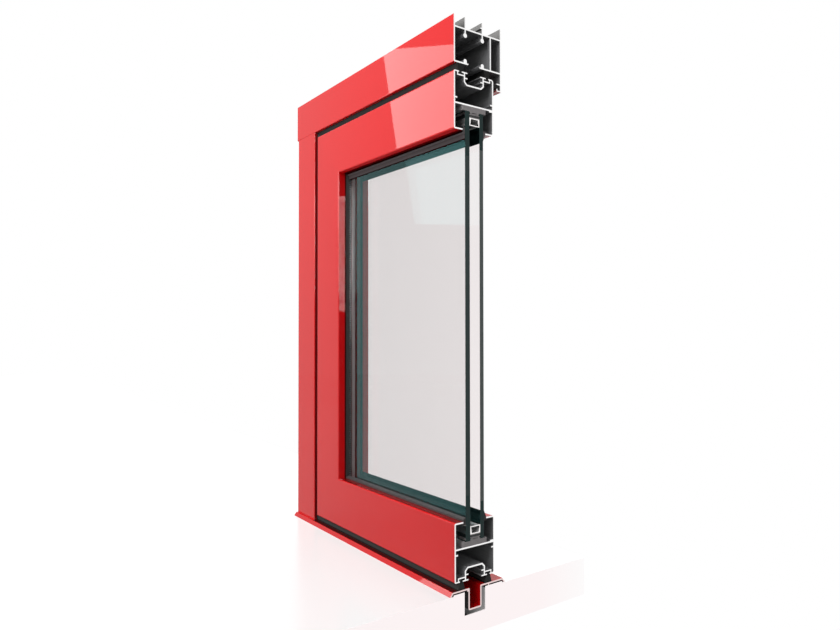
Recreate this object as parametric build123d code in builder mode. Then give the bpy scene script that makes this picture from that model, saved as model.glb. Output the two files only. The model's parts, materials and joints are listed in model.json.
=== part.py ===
from build123d import *
import os

# Sawn-off corner of a folding window: head track, side jamb, floor threshold and one glazed leaf.
# X runs along the window towards the sawn face, Y from the outer face to the inner one, Z is up.
# The origin lies on the channel's underside, at the middle of the threshold and of the track.

# Overall sizes, in millimetres
daylight_width = 234.5  # from the stile's lip to the sawn face
daylight_height = 389.0  # from the lower lip to the upper lip
leaf_face = 58.5  # width of a leaf member, seen from outside
leaf_depth = 52.0
leaf_gap = 8.0  # air between the leaf and the frame, all round
frame_depth = 63.0  # the frame's outer face is flush with the leaf's
head_face = 47.7
jamb_face = 49.0
head_overhang = 4.0  # the head runs this far past the jamb

# Extruded walls
wall = 1.5
fine_wall = 1.2
edge_round = 1.5
frame_round = 1.0  # outer corner of the head and the jamb, beside the leaf
fit_clearance = 0.2  # between a pushed-in piece and its groove

# Leaf profile: reaches are from a face or a wall, depths are from the edge beside the frame
lip_reach = 11.0
web_height = 26.2  # from the glass-side lip to the middle of the web
nose_rise = 5.4  # screw nose above the web
nose_reach = 2.7
groove_depth = 12.6  # hardware groove, to the middle of its floor
groove_width = 24.8  # between the middles of its side walls
groove_chamfer = 3.0
bar_inside = 3.8  # bar on each side wall, towards the groove
bar_outside = 3.4
keeper_depth = 6.0  # second lip inside the hardware groove
hook_reach = 6.6
back_round = 2.8  # inner corners of the leaf: the hook's and the bead's
seal_groove_depth = 3.85
seal_groove_wall = 4.8  # from the outer face to the middle of the seal groove's wall

# Glazing
gasket_thickness = 3.0
outer_glass = 6.0
inner_glass = 5.0
cavity = 13.0
glass_cover = 20.3  # how far the panes run behind the lip
spacer_sight = 6.0  # from the lip to the spacer bar
spacer_height = 8.0
spacer_wall = 1.0
spacer_taper = 1.0  # the hollow narrows by this on each side, towards the edge seal
packer_width = 31.0
packer_length = 100.0
nib_height = 2.5
nib_wall = 0.8
nib_slot = 6.5
bead_foot = 5.0
outer_gasket_stand = 3.8  # past the lip
inner_gasket_stand = 7.2
gasket_tuck = 1.8  # behind the lip
gasket_heel = 1.2

# Frame profiles
fin_height = 11.3
track_gauge = 22.6  # between the two running rails
bulb_radius = 2.3
bulb_drop = 5.7
rail_width = 4.0
rail_rise = 3.9
slot_width = 13.2
slot_flare = 1.6
mid_wall_inset = 14.8  # from the back of the frame to the middle of the mid wall
fin_nose_rise = 5.5
fin_nose_reach = 1.8
stop_drop = 18.7  # rear stop leg, past the frame's inner edge
stop_nose_drop = 10.9
stop_nose_spacing = 7.0
stop_tip_rise = 1.6  # upturned end of the far nose

# Threshold
threshold_depth = 22.0  # from the channel's underside to the flange's top
channel_width = 14.0
channel_round = 2.0
front_lip_reach = 5.0
back_lip_reach = 2.8
lip_drop = 4.2
lip_bend = 2.45  # flat flange past the outer face before the lip turns down
rib_place = 18.0
rib_drop = 1.5
knot_size = 1.6  # thickened outer corner of the channel
mouth_round = 1.2

# Seals between leaf and frame
seal_neck = 3.2
seal_waist = 4.8
seal_flare = 9.0
stop_gasket_nose = 3.0

# Places worked out from those sizes
half_depth = leaf_depth / 2
leaf_front = -half_depth
frame_back = leaf_front + frame_depth
threshold_length = jamb_face + leaf_gap + leaf_face + daylight_width
sawn_face = threshold_length / 2
daylight_left = sawn_face - daylight_width
jamb_inner = daylight_left - leaf_face - leaf_gap
jamb_outer = jamb_inner - jamb_face
head_end = jamb_outer - head_overhang
daylight_bottom = threshold_depth + leaf_gap + leaf_face
daylight_top = daylight_bottom + daylight_height
head_low = daylight_top + leaf_face + leaf_gap
member_reach = leaf_face + leaf_gap
outer_pane_front = leaf_front + lip_reach + gasket_thickness
cavity_front = outer_pane_front + outer_glass
cavity_back = cavity_front + cavity
inner_pane_back = cavity_back + inner_glass
web_under = web_height - wall / 2
bead_lip_end = inner_pane_back + gasket_thickness
stop_room = frame_back - wall - half_depth  # between the leaf's back and the stop leg
stop_nose_reach = stop_room / 2

os.makedirs("parts", exist_ok=True)


def save(piece, name):
    piece.part.label = name
    export_step(piece.part, f"parts/{name}.step")


# A wall of an extruded profile, drawn along its middle line
def draw_wall(*points, thickness=wall):
    with BuildLine() as middle:
        Polyline(*points)
    trace(middle.line, line_width=thickness)


# A closed straight-sided outline
def draw_outline(*points, mode=Mode.ADD):
    with BuildLine() as outline:
        Polyline(*points, close=True)
    make_face(outline.edges(), mode=mode)


# The corner of a sketch nearest to a point
def corner_near(drawing, x, y):
    return drawing.vertices().sort_by_distance((x, y))[0]


# Upper half of the leaf profile is the same outside and inside; the front wall and lip hold the glass
with BuildSketch() as leaf_profile:
    edge = leaf_face - fine_wall / 2
    front_line = leaf_front + wall / 2
    side_line = -groove_width / 2
    floor_line = leaf_face - groove_depth
    seal_floor = leaf_face - seal_groove_depth
    seal_side = leaf_front + seal_groove_wall
    keeper_line = leaf_face - keeper_depth
    nose_line = web_height + nose_rise
    draw_wall((front_line, web_under), (front_line, leaf_face))
    draw_wall((leaf_front, edge), (leaf_front + hook_reach, edge), thickness=fine_wall)
    draw_wall((seal_side, edge), (seal_side, seal_floor), (side_line, seal_floor), thickness=fine_wall)
    draw_wall((side_line - bar_outside, edge), (side_line + bar_inside, edge), thickness=fine_wall)
    draw_wall((side_line, keeper_line), (side_line + bar_inside, keeper_line), thickness=fine_wall)
    draw_wall(
        (side_line, edge),
        (side_line, floor_line + groove_chamfer),
        (side_line + groove_chamfer, floor_line),
        (0, floor_line),
    )
    draw_wall((front_line, nose_line), (front_line + wall / 2 + nose_reach, nose_line))
    draw_wall((front_line, web_height), (0, web_height))
    mirror(about=Plane.YZ)
    draw_wall((front_line, 0), (front_line, web_height))
    draw_wall((leaf_front, wall / 2), (leaf_front + lip_reach, wall / 2))
    fillet(corner_near(leaf_profile, leaf_front, 0), edge_round)
    fillet(corner_near(leaf_profile, leaf_front, leaf_face), edge_round)
    fillet(corner_near(leaf_profile, half_depth - wall, leaf_face - fine_wall), back_round - wall)
    fillet(corner_near(leaf_profile, half_depth, leaf_face), back_round)

# Clip-in bead that carries the inner lip, with its foot under the web
with BuildSketch() as bead_profile:
    bead_line = half_depth - wall / 2
    foot_line = web_under - fine_wall / 2
    draw_wall((bead_line, 0), (bead_line, web_under))
    draw_wall((half_depth, wall / 2), (bead_lip_end, wall / 2))
    draw_wall((bead_line, foot_line), (bead_line - bead_foot, foot_line), thickness=fine_wall)
    fillet(corner_near(bead_profile, half_depth - wall, wall), back_round - wall)
    fillet(corner_near(bead_profile, half_depth, 0), back_round)

# Gasket between the outer lip and the outer pane: a flat strip with a heel behind the lip
with BuildSketch() as outer_gasket_profile:
    draw_outline(
        (outer_pane_front, -outer_gasket_stand),
        (outer_pane_front, wall + gasket_tuck),
        (outer_pane_front - gasket_thickness - gasket_heel, wall + gasket_tuck),
        (outer_pane_front - gasket_thickness - gasket_heel, wall),
        (outer_pane_front - gasket_thickness, wall),
        (outer_pane_front - gasket_thickness, -outer_gasket_stand / 2),
    )

# Wedge gasket between the inner pane and the bead, drawn to a thin edge over the glass
with BuildSketch() as inner_gasket_profile:
    draw_outline(
        (inner_pane_back, -inner_gasket_stand),
        (inner_pane_back, wall + gasket_tuck),
        (bead_lip_end + gasket_heel, wall + gasket_tuck),
        (bead_lip_end + gasket_heel, wall),
        (bead_lip_end, wall),
        (bead_lip_end, 0),
    )

# Spacer bar between the panes, its hollow narrowed towards the edge seal
with BuildSketch() as spacer_profile:
    spacer_top = spacer_sight + spacer_height
    with Locations(((cavity_front + cavity_back) / 2, spacer_sight + spacer_height / 2)):
        Rectangle(cavity, spacer_height)
    draw_outline(
        (cavity_front + spacer_wall, spacer_sight + spacer_wall),
        (cavity_back - spacer_wall, spacer_sight + spacer_wall),
        (cavity_back - spacer_wall - spacer_taper, spacer_top - spacer_wall),
        (cavity_front + spacer_wall + spacer_taper, spacer_top - spacer_wall),
        mode=Mode.SUBTRACT,
    )

# Edge seal between the spacer bar and the packer's nib
with BuildSketch() as edge_seal_profile:
    seal_top = glass_cover - nib_height
    with Locations(((cavity_front + cavity_back) / 2, (spacer_top + seal_top) / 2)):
        Rectangle(cavity, seal_top - spacer_top)

# Glazing packer with a hollow tapered nib that stands between the panes
with BuildSketch() as packer_profile:
    nib_middle = (cavity_front + cavity_back) / 2
    packer_middle = (outer_pane_front + inner_pane_back) / 2
    nib_foot = cavity / 2 - fit_clearance
    with Locations((packer_middle, (glass_cover + web_under) / 2)):
        Rectangle(packer_width, web_under - glass_cover)
    draw_outline(
        (nib_middle - nib_foot, glass_cover),
        (nib_middle + nib_foot, glass_cover),
        (nib_middle + nib_foot - nib_height / 2, glass_cover - nib_height),
        (nib_middle - nib_foot + nib_height / 2, glass_cover - nib_height),
    )
    with Locations((nib_middle, glass_cover - nib_height / 2)):
        Rectangle(nib_slot, nib_height - 2 * nib_wall, mode=Mode.SUBTRACT)

# Flared seal from the leaf's seal groove to the frame: foot, neck and body
with BuildSketch() as front_seal_profile:
    mouth_left = leaf_front + hook_reach
    mouth_right = side_line - bar_outside
    seal_middle = (mouth_left + mouth_right) / 2
    foot_low = seal_floor + fine_wall / 2
    foot_high = leaf_face - fine_wall - fit_clearance
    foot_left = seal_side + fine_wall / 2 + fit_clearance
    foot_right = side_line - wall / 2 - fit_clearance
    with Locations(((foot_left + foot_right) / 2, (foot_low + foot_high) / 2)):
        Rectangle(foot_right - foot_left, foot_high - foot_low)
    with Locations((seal_middle, (foot_low + leaf_face) / 2)):
        Rectangle(seal_neck, leaf_face - foot_low)
    draw_outline(
        (seal_middle - seal_waist / 2, leaf_face),
        (seal_middle + seal_waist / 2, leaf_face),
        (seal_middle + seal_flare / 2, member_reach),
        (seal_middle - seal_flare / 2, member_reach),
    )
with BuildSketch() as back_seal_profile:
    mirror(front_seal_profile.sketch, about=Plane.YZ)


# Hollow frame profile: outer walls, flange with four fins towards the building, and a mid wall
def draw_frame_shell(face):
    front_line = leaf_front + wall / 2
    back_line = frame_back - wall / 2
    flange_line = face - fin_height - wall / 2
    mid_line = frame_back - mid_wall_inset
    draw_wall((front_line, 0), (front_line, face))
    draw_wall((back_line, 0), (back_line, face))
    draw_wall((front_line, flange_line), (back_line, flange_line))
    draw_wall((leaf_front, wall / 2), (frame_back, wall / 2))
    draw_wall((mid_line, wall / 2), (mid_line, flange_line))
    for fin_line in (-track_gauge / 2, track_gauge / 2):
        draw_wall((fin_line, flange_line), (fin_line, face))


# Head: the shell with a flared slot, running rails, guide bulbs and a nose on the inner fin
with BuildSketch() as head_profile:
    flange_under = head_face - fin_height - wall
    fin_nose_line = flange_under + wall + fin_nose_rise
    inner_fin = track_gauge / 2
    rail_centre = wall + rail_rise - rail_width / 2
    draw_frame_shell(head_face)
    draw_outline(
        (-slot_width / 2, wall),
        (slot_width / 2, wall),
        (slot_width / 2 + slot_flare, 0),
        (-slot_width / 2 - slot_flare, 0),
        mode=Mode.SUBTRACT,
    )
    for track_line in (-track_gauge / 2, track_gauge / 2):
        draw_wall((track_line, flange_under), (track_line, flange_under - bulb_drop))
        with Locations((track_line, flange_under - bulb_drop)):
            Circle(bulb_radius)
        draw_wall((track_line, wall / 2), (track_line, rail_centre), thickness=rail_width)
        with Locations((track_line, rail_centre)):
            Circle(rail_width / 2)
    draw_wall(
        (inner_fin, fin_nose_line),
        (inner_fin - wall / 2 - fin_nose_reach, fin_nose_line),
        thickness=fine_wall,
    )
    fillet(corner_near(head_profile, leaf_front, 0), frame_round)

with BuildSketch() as jamb_profile:
    draw_frame_shell(jamb_face)
    fillet(corner_near(jamb_profile, leaf_front, 0), frame_round)

# Rear stop leg of the head and the jamb, with two noses that hold a gasket against the leaf's back
with BuildSketch() as stop_profile:
    leg_line = frame_back - wall / 2
    nose_tip = frame_back - wall - stop_nose_reach
    far_nose = stop_nose_drop + stop_nose_spacing
    tip_line = nose_tip + fine_wall / 2
    tip_top = -far_nose + fine_wall / 2 + stop_tip_rise
    draw_wall((leg_line, 0), (leg_line, -stop_drop))
    for nose_drop in (stop_nose_drop, far_nose):
        draw_wall((leg_line, -nose_drop), (nose_tip, -nose_drop), thickness=fine_wall)
    draw_wall((tip_line, -far_nose), (tip_line, tip_top), thickness=fine_wall)

with BuildSketch() as stop_gasket_profile:
    groove_middle = -stop_nose_drop - stop_nose_spacing / 2
    groove_room = stop_nose_spacing - fine_wall - 2 * fit_clearance
    groove_back = frame_back - wall
    gasket_low = groove_middle - groove_room / 2
    gasket_high = groove_middle + groove_room / 2
    notch_back = nose_tip + fine_wall + fit_clearance
    draw_outline(
        (groove_back, gasket_low),
        (groove_back, gasket_high),
        (nose_tip, gasket_high),
        (half_depth, groove_middle + stop_gasket_nose / 2),
        (half_depth, groove_middle - stop_gasket_nose / 2),
        (nose_tip, gasket_low + stop_tip_rise),
        (notch_back, gasket_low + stop_tip_rise),
        (notch_back, gasket_low),
    )

# Threshold: flange on the floor with a sunk guide channel, sloping lips and a small rib
with BuildSketch() as threshold_profile:
    flange_line = threshold_depth - wall / 2
    flange_under = threshold_depth - wall
    channel_line = channel_width / 2 + wall / 2
    floor_level = threshold_depth - lip_drop
    front_bend = leaf_front - lip_bend
    front_lip = leaf_front - front_lip_reach
    back_lip = frame_back + back_lip_reach
    front_slope = (front_bend - front_lip) / (flange_line - floor_level)
    back_slope = back_lip_reach / (flange_line - floor_level)
    draw_wall(
        (front_lip - front_slope * wall, floor_level - wall),
        (front_bend, flange_line),
        (-channel_line, flange_line),
        (-channel_line, wall / 2),
        (channel_line, wall / 2),
        (channel_line, flange_line),
        (frame_back, flange_line),
        (back_lip + back_slope * wall, floor_level - wall),
    )
    for lip in (front_lip, back_lip):
        with Locations((lip, floor_level)):
            Rectangle(2 * lip_drop, 2 * wall, align=(Align.CENTER, Align.MAX), mode=Mode.SUBTRACT)
    with Locations((-channel_line, flange_under)):
        Rectangle(wall / 2 + knot_size, knot_size, align=Align.MAX)
    draw_wall((rib_place, flange_line), (rib_place, flange_under - rib_drop), thickness=fine_wall)
    fillet(threshold_profile.vertices().group_by(Axis.Y)[0], channel_round)
    fillet(threshold_profile.vertices().group_by(Axis.Y)[-1].sort_by(Axis.X)[1:3], mouth_round)


# Plane for a run along one side: local X is depth, local Y points away from the glass
def run_plane(side, corner_x, corner_low, corner_high, reach):
    if side == "top":
        return Plane(origin=(corner_x - reach, 0, corner_high), x_dir=(0, 1, 0), z_dir=(1, 0, 0))
    if side == "bottom":
        return Plane(origin=(sawn_face, 0, corner_low), x_dir=(0, 1, 0), z_dir=(-1, 0, 0))
    return Plane(origin=(corner_x, 0, corner_low - reach), x_dir=(0, 1, 0), z_dir=(0, 0, 1))


# Mitre planes through the left corners; the rails lie on their upper side, the stile on the lower
upper_mitre = Plane(origin=(daylight_left, 0, daylight_top), x_dir=(0, 1, 0), z_dir=(1, 0, 1))
lower_mitre = Plane(origin=(daylight_left, 0, daylight_bottom), x_dir=(0, 1, 0), z_dir=(1, 0, -1))
frame_mitre = Plane(origin=(jamb_inner, 0, head_low), x_dir=(0, 1, 0), z_dir=(1, 0, 1))


# One leaf member along the top, left or bottom, mitred at the corners
def leaf_member(name, side, profile):
    with BuildPart() as member:
        with BuildSketch(run_plane(side, daylight_left, daylight_bottom, daylight_top, member_reach)):
            add(profile.sketch)
        if side == "left":
            extrude(amount=daylight_height + 2 * member_reach)
            split(bisect_by=upper_mitre, keep=Keep.BOTTOM)
            split(bisect_by=lower_mitre, keep=Keep.BOTTOM)
        else:
            extrude(amount=daylight_width + member_reach)
            split(bisect_by=upper_mitre if side == "top" else lower_mitre, keep=Keep.TOP)
    save(member, name)


leaf_member("leaf_top_rail", "top", leaf_profile)
leaf_member("leaf_bottom_rail", "bottom", leaf_profile)
leaf_member("leaf_stile", "left", leaf_profile)
for side in ("top", "left", "bottom"):
    leaf_member(f"glazing_bead_{side}", side, bead_profile)
    leaf_member(f"outer_gasket_{side}", side, outer_gasket_profile)
    leaf_member(f"inner_gasket_{side}", side, inner_gasket_profile)
    leaf_member(f"spacer_bar_{side}", side, spacer_profile)
    leaf_member(f"edge_seal_{side}", side, edge_seal_profile)
    leaf_member(f"front_seal_{side}", side, front_seal_profile)
    leaf_member(f"back_seal_{side}", side, back_seal_profile)


# One sheet of the double glazing, its edges covered by the leaf members
def glass_pane(name, front, thickness):
    with BuildPart() as pane:
        with BuildSketch(Plane.XZ.offset(-front)):
            with Locations((daylight_left - glass_cover, daylight_bottom - glass_cover)):
                Rectangle(
                    daylight_width + glass_cover,
                    daylight_height + 2 * glass_cover,
                    align=(Align.MIN, Align.MIN),
                )
        extrude(amount=-thickness)
    save(pane, name)


glass_pane("outer_pane", outer_pane_front, outer_glass)
glass_pane("inner_pane", cavity_back, inner_glass)


# Packers between the panes and the webs, at the sawn end of the rails
for side in ("top", "bottom"):
    with BuildPart() as packer:
        with BuildSketch(run_plane(side, sawn_face, daylight_bottom, daylight_top, packer_length)):
            add(packer_profile.sketch)
        extrude(amount=packer_length)
    save(packer, f"{side}_packer")

# Head track: the stop leg starts at the jamb with a mitre, the shell runs over the jamb
with BuildPart() as head_track:
    with BuildSketch(run_plane("top", jamb_inner, threshold_depth, head_low, 0)):
        add(stop_profile.sketch)
    extrude(amount=sawn_face - jamb_inner)
    split(bisect_by=frame_mitre, keep=Keep.TOP)
    with BuildSketch(run_plane("top", head_end, threshold_depth, head_low, 0)):
        add(head_profile.sketch)
    extrude(amount=sawn_face - head_end)
save(head_track, "head_track")

with BuildPart() as left_jamb:
    with BuildSketch(run_plane("left", jamb_inner, threshold_depth, head_low, 0)):
        add(stop_profile.sketch)
    extrude(amount=head_low - threshold_depth)
    split(bisect_by=frame_mitre, keep=Keep.BOTTOM)
    with BuildSketch(run_plane("left", jamb_inner, threshold_depth, head_low, 0)):
        add(jamb_profile.sketch)
    extrude(amount=head_low - threshold_depth)
save(left_jamb, "left_jamb")

with BuildPart() as head_stop_gasket:
    with BuildSketch(run_plane("top", jamb_inner, threshold_depth, head_low, 0)):
        add(stop_gasket_profile.sketch)
    extrude(amount=sawn_face - jamb_inner)
    split(bisect_by=frame_mitre, keep=Keep.TOP)
save(head_stop_gasket, "head_stop_gasket")

with BuildPart() as jamb_stop_gasket:
    with BuildSketch(run_plane("left", jamb_inner, threshold_depth, head_low, 0)):
        add(stop_gasket_profile.sketch)
    extrude(amount=head_low - threshold_depth)
    split(bisect_by=frame_mitre, keep=Keep.BOTTOM)
save(jamb_stop_gasket, "jamb_stop_gasket")

with BuildPart() as threshold:
    with BuildSketch(Plane(origin=(jamb_outer, 0, 0), x_dir=(0, 1, 0), z_dir=(1, 0, 0))):
        add(threshold_profile.sketch)
    extrude(amount=threshold_length)
save(threshold, "threshold")
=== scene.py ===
import json
import math

import bmesh
import bpy
from mathutils import Matrix, Vector

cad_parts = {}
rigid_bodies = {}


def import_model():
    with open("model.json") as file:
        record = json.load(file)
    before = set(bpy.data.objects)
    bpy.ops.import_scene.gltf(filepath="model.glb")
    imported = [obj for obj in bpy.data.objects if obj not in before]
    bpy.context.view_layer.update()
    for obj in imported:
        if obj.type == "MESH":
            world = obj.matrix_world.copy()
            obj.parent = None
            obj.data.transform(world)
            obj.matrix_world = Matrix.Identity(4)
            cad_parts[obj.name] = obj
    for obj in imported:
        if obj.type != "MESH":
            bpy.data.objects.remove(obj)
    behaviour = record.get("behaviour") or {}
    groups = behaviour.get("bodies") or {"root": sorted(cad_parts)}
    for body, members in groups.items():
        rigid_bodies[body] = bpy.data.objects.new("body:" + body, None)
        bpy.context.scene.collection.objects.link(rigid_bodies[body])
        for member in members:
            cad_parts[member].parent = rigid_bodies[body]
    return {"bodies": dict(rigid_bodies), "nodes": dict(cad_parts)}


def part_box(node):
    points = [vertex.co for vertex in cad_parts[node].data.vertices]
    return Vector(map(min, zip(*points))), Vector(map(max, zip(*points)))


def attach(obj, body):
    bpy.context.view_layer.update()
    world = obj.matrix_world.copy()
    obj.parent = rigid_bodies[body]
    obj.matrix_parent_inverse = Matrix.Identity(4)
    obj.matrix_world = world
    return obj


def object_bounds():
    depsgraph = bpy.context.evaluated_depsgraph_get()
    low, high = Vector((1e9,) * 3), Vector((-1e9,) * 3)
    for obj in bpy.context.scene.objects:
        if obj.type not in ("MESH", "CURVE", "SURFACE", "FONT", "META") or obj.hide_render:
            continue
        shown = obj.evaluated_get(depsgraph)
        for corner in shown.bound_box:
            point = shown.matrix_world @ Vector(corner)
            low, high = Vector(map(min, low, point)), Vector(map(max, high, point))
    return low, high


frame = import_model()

# the start-up objects go first, so that the box is the CAD model's own
ownThings = set(frame["nodes"].values()) | set(frame["bodies"].values())
for thing in list(bpy.data.objects):
    if thing not in ownThings:
        bpy.data.objects.remove(thing)
cadLow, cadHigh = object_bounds()
nodes = frame["nodes"]
scene = bpy.context.scene
scene.view_settings.view_transform = "Standard"
mm = 0.001
farAway = 9.0  # a place outside every box, in metres
print("frame loaded:", len(nodes), "nodes")

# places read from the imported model
sawnX = cadHigh.x
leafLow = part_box("leaf_stile")[0]
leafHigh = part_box("leaf_stile")[1]
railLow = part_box("leaf_top_rail")[0]
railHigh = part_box("leaf_bottom_rail")[1]
headLow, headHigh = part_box("head_track")
jambLow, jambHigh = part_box("left_jamb")
sillLow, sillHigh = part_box("threshold")
outerPaneLow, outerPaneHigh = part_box("outer_pane")
innerPaneLow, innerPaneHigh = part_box("inner_pane")


# node helpers
def wire(tree, source, target):
    if isinstance(source, bpy.types.NodeSocket):
        tree.links.new(source, target)
    else:
        target.default_value = source


def calc(tree, operation, first, second=0.0, clamp=False):
    node = tree.nodes.new("ShaderNodeMath")
    node.operation = operation
    node.use_clamp = clamp
    wire(tree, first, node.inputs[0])
    wire(tree, second, node.inputs[1])
    return node.outputs[0]


def calcVector(tree, operation, first, second):
    node = tree.nodes.new("ShaderNodeVectorMath")
    node.operation = operation
    wire(tree, first, node.inputs[0])
    wire(tree, second, node.inputs[1])
    return node.outputs[0]


def mixValue(tree, factor, low, high):
    node = tree.nodes.new("ShaderNodeMix")
    wire(tree, factor, node.inputs[0])
    wire(tree, low, node.inputs[2])
    wire(tree, high, node.inputs[3])
    return node.outputs[0]


def mixColour(tree, factor, low, high):
    node = tree.nodes.new("ShaderNodeMix")
    node.data_type = "RGBA"
    wire(tree, factor, node.inputs[0])
    wire(tree, low, node.inputs[6])
    wire(tree, high, node.inputs[7])
    return node.outputs[2]


def splitVector(tree, vector):
    node = tree.nodes.new("ShaderNodeSeparateXYZ")
    wire(tree, vector, node.inputs[0])
    return node.outputs


noiseDetail = {"wander": 2.0, "streak": 3.0, "ripple": 1.0, "cloud": 3.0, "grain": 2.0, "dust": 4.0}


def noise(tree, vector, scale, kind):
    node = tree.nodes.new("ShaderNodeTexNoise")
    wire(tree, vector, node.inputs["Vector"])
    wire(tree, scale, node.inputs["Scale"])
    node.inputs["Detail"].default_value = noiseDetail[kind]
    return node.outputs["Fac"]


def place(tree):
    return tree.nodes.new("ShaderNodeTexCoord").outputs["Object"]


def newGroup(name, inputs, outputs):
    group = bpy.data.node_groups.new(name, "ShaderNodeTree")
    for label, kind in inputs.items():
        group.interface.new_socket(label, in_out="INPUT", socket_type=kind)
    for label, kind in outputs.items():
        group.interface.new_socket(label, in_out="OUTPUT", socket_type=kind)
    return group, group.nodes.new("NodeGroupInput").outputs, group.nodes.new("NodeGroupOutput").inputs


def useGroup(tree, group, **values):
    node = tree.nodes.new("ShaderNodeGroup")
    node.node_tree = group
    for label, value in values.items():
        wire(tree, value, node.inputs[label])
    return node.outputs


def newMaterial(name):
    material = bpy.data.materials.new(name)
    material.use_nodes = True
    tree = material.node_tree
    return material, tree, tree.nodes["Principled BSDF"]


def bump(tree, shader, height, distance):
    node = tree.nodes.new("ShaderNodeBump")
    node.inputs["Strength"].default_value = 1.0
    node.inputs["Distance"].default_value = distance
    wire(tree, height, node.inputs["Height"])
    tree.links.new(node.outputs["Normal"], shader.inputs["Normal"])


def grey(value):
    return (value, value, value, 1.0)


def colour(values):
    return (*values, 1.0)


# mesh helpers
def pull(shape, outline, by):
    face = shape.faces.new([shape.verts.new(point) for point in outline])
    pulled = bmesh.ops.extrude_face_region(shape, geom=[face])["geom"]
    moved = [v for v in pulled if isinstance(v, bmesh.types.BMVert)]
    bmesh.ops.translate(shape, verts=moved, vec=by)


def newPiece(name, shape, material):
    bmesh.ops.recalc_face_normals(shape, faces=shape.faces)
    mesh = bpy.data.meshes.new(name)
    shape.to_mesh(mesh)
    shape.free()
    mesh.materials.append(material)
    piece = bpy.data.objects.new(name, mesh)
    scene.collection.objects.link(piece)
    return piece


# how deep a point lies inside a box, measured to its nearest face
boxDepth, given, result = newGroup(
    "boxDepth",
    {"low": "NodeSocketVector", "high": "NodeSocketVector"},
    {"depth": "NodeSocketFloat"},
)
fromLow = calcVector(boxDepth, "SUBTRACT", place(boxDepth), given["low"])
fromHigh = calcVector(boxDepth, "SUBTRACT", given["high"], place(boxDepth))
nearest = splitVector(boxDepth, calcVector(boxDepth, "MINIMUM", fromLow, fromHigh))
nearestYz = calc(boxDepth, "MINIMUM", nearest[1], nearest[2])
wire(boxDepth, calc(boxDepth, "MINIMUM", nearest[0], nearestYz), result["depth"])

# faces cut square at the ends of a bar, with the arcs that a saw blade leaves
sawLook = {
    "bladeY": 0.12,
    "bladeZ": -0.21,
    "pitch": 0.6 * mm,
    "wander": 0.9,
    "wanderScale": 900.0,
    "skin": 0.05 * mm,
    "square": 0.9,  # a face counts as cut when it looks this squarely along X
}
sawnEnds, given, result = newGroup(
    "sawnEnds",
    {"left": "NodeSocketFloat", "right": "NodeSocketFloat"},
    {"mask": "NodeSocketFloat", "marks": "NodeSocketFloat"},
)
spot = splitVector(sawnEnds, place(sawnEnds))
facing = sawnEnds.nodes.new("ShaderNodeNewGeometry").outputs["True Normal"]
alongRun = calc(sawnEnds, "ABSOLUTE", splitVector(sawnEnds, facing)[0])
square = calc(sawnEnds, "GREATER_THAN", alongRun, sawLook["square"])
rightEnd = calc(sawnEnds, "SUBTRACT", given["right"], sawLook["skin"])
leftEnd = calc(sawnEnds, "ADD", given["left"], sawLook["skin"])
atRight = calc(sawnEnds, "GREATER_THAN", spot[0], rightEnd)
atLeft = calc(sawnEnds, "LESS_THAN", spot[0], leftEnd)
atEnd = calc(sawnEnds, "ADD", atRight, atLeft)
wire(sawnEnds, calc(sawnEnds, "MULTIPLY", square, atEnd), result["mask"])
acrossY = calc(sawnEnds, "SUBTRACT", spot[1], sawLook["bladeY"])
acrossZ = calc(sawnEnds, "SUBTRACT", spot[2], sawLook["bladeZ"])
squareY = calc(sawnEnds, "MULTIPLY", acrossY, acrossY)
squareZ = calc(sawnEnds, "MULTIPLY", acrossZ, acrossZ)
squares = calc(sawnEnds, "ADD", squareY, squareZ)
turns = calc(sawnEnds, "MULTIPLY", calc(sawnEnds, "SQRT", squares), math.tau / sawLook["pitch"])
unsteady = noise(sawnEnds, place(sawnEnds), sawLook["wanderScale"], "wander")
wander = calc(sawnEnds, "MULTIPLY", unsteady, math.tau * sawLook["wander"])
waves = calc(sawnEnds, "SINE", calc(sawnEnds, "ADD", turns, wander))
halfWaves = calc(sawnEnds, "MULTIPLY", waves, 0.5)
wire(sawnEnds, calc(sawnEnds, "ADD", halfWaves, 0.5), result["marks"])

# streaks that an extrusion die draws along a bar
dieLines, given, result = newGroup(
    "dieLines",
    {"stretch": "NodeSocketVector", "scale": "NodeSocketFloat"},
    {"streak": "NodeSocketFloat"},
)
drawn = calcVector(dieLines, "MULTIPLY", place(dieLines), given["stretch"])
wire(dieLines, noise(dieLines, drawn, given["scale"], "streak"), result["streak"])

# the faint ripple and cloudiness of sprayed paint
sprayed, given, result = newGroup(
    "sprayed",
    {"rippleScale": "NodeSocketFloat", "cloudScale": "NodeSocketFloat"},
    {"ripple": "NodeSocketFloat", "cloud": "NodeSocketFloat"},
)
wire(sprayed, noise(sprayed, place(sprayed), given["rippleScale"], "ripple"), result["ripple"])
wire(sprayed, noise(sprayed, place(sprayed), given["cloudScale"], "cloud"), result["cloud"])

# fine grit of rubber and plastic, with a few pale specks of dust
dustLook = {"from": 0.62, "rise": 4.0}
grit, given, result = newGroup(
    "grit",
    {"grainScale": "NodeSocketFloat", "dustScale": "NodeSocketFloat"},
    {"grain": "NodeSocketFloat", "dust": "NodeSocketFloat"},
)
wire(grit, noise(grit, place(grit), given["grainScale"], "grain"), result["grain"])
dustCloud = noise(grit, place(grit), given["dustScale"], "dust")
dustPeaks = calc(grit, "SUBTRACT", dustCloud, dustLook["from"], True)
wire(grit, calc(grit, "MULTIPLY", dustPeaks, dustLook["rise"], True), result["dust"])
print("shader groups made:", len(bpy.data.node_groups))

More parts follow.
